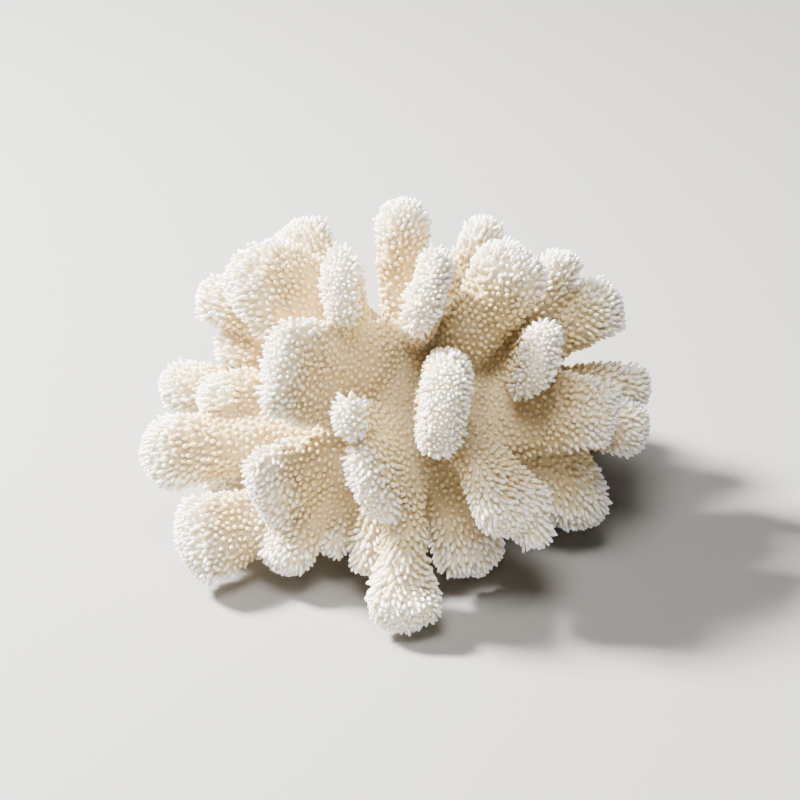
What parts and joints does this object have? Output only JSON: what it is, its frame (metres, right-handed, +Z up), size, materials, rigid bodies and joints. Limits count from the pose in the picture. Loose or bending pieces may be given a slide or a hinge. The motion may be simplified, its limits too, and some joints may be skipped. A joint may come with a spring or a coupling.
{
  "type": "coral skeleton",
  "caption": "Dry cat's paw coral skeleton: a nubbly dome of flattened, round-ended branches around a short trunk, cut off flat underneath so that it stands.",
  "frame": {"origin": "on the flat cut underside, below the trunk", "axes": "+Z up out of the cut, +X to the viewer's right and +Y away from the viewer, who sees the face with the lowest front branch"},
  "size_m": [0.16, 0.1403, 0.1083],
  "materials": {
    "coral_skeleton": "matt, chalky, cream with white nubs"
  },
  "bodies": {
    "root": {"trunk": "coral_skeleton", "front_foot": "coral_skeleton", "front_small_fingers": "coral_skeleton", "front_blade": "coral_skeleton", "front_ridge": "coral_skeleton", "front_right_blade": "coral_skeleton", "front_left_blade": "coral_skeleton", "low_left_paw": "coral_skeleton", "low_left_finger": "coral_skeleton", "left_arm": "coral_skeleton", "left_fingers": "coral_skeleton", "left_blade": "coral_skeleton", "high_left_paw": "coral_skeleton", "high_left_rear_paw": "coral_skeleton", "middle_left_fingers": "coral_skeleton", "high_left_finger": "coral_skeleton", "top_finger": "coral_skeleton", "top_blade": "coral_skeleton", "high_right_paw": "coral_skeleton", "high_right_rear_finger": "coral_skeleton", "high_right_fingers": "coral_skeleton", "right_upper_blade": "coral_skeleton", "right_blade": "coral_skeleton", "right_fingers": "coral_skeleton", "low_right_finger": "coral_skeleton", "back_top_left_finger": "coral_skeleton", "back_top_right_finger": "coral_skeleton", "back_left_fan": "coral_skeleton", "back_low_left_fan": "coral_skeleton", "back_middle_left_fan": "coral_skeleton", "back_middle_right_fan": "coral_skeleton", "back_low_fan": "coral_skeleton", "back_low_right_finger": "coral_skeleton", "back_right_fan": "coral_skeleton", "low_back_right_fingers": "coral_skeleton"}
  },
  "joints": []
}
